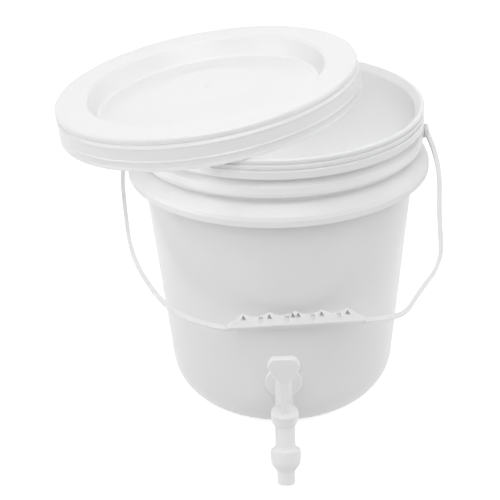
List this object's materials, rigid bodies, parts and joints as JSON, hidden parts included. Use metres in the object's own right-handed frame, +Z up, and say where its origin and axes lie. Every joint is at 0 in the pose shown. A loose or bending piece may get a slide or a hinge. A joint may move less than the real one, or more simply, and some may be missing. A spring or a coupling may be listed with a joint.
{
  "type": "pail with lid and tap",
  "caption": "Round tapered plastic pail for water, with a push-on lid lying askew on its rim, a swinging carrying handle and a turning lever tap with a hose spout near its foot.",
  "frame": {"origin": "centre of the pail's flat base, on the floor", "axes": "+Z up through the mouth; the handle swings about an axis along X and hangs towards -Y, the side of the tap"},
  "size_m": [0.3394, 0.3356, 0.3256],
  "materials": {
    "pail": "moulded satin white polypropylene",
    "lid": "moulded satin white polyethylene",
    "bail_handle": "moulded satin white plastic",
    "tap_body": "natural milky plastic",
    "tap_plug": "natural milky plastic",
    "tap_outer_washer": "pale soft rubber",
    "tap_inner_washer": "pale soft rubber",
    "tap_back_nut": "natural milky plastic"
  },
  "bodies": {
    "container": {"pail": "pail", "lid": "lid", "tap_body": "tap_body", "tap_outer_washer": "tap_outer_washer", "tap_inner_washer": "tap_inner_washer", "tap_back_nut": "tap_back_nut"},
    "handle": {"bail_handle": "bail_handle"},
    "tap_lever": {"tap_plug": "tap_plug"}
  },
  "joints": [
    {"name": "handle_swing", "type": "hinge", "parent": "container", "child": "handle", "pos_m": [0, 0, 0.2504], "axis": [-1, 0, 0], "range_deg": [0, 50]},
    {"name": "tap_turn", "type": "hinge", "parent": "container", "child": "tap_lever", "pos_m": [-0.01088, -0.16382, 0.0569], "axis": [-0.0068, -0.1024, 0.9947], "range_deg": [0, 90]}
  ]
}
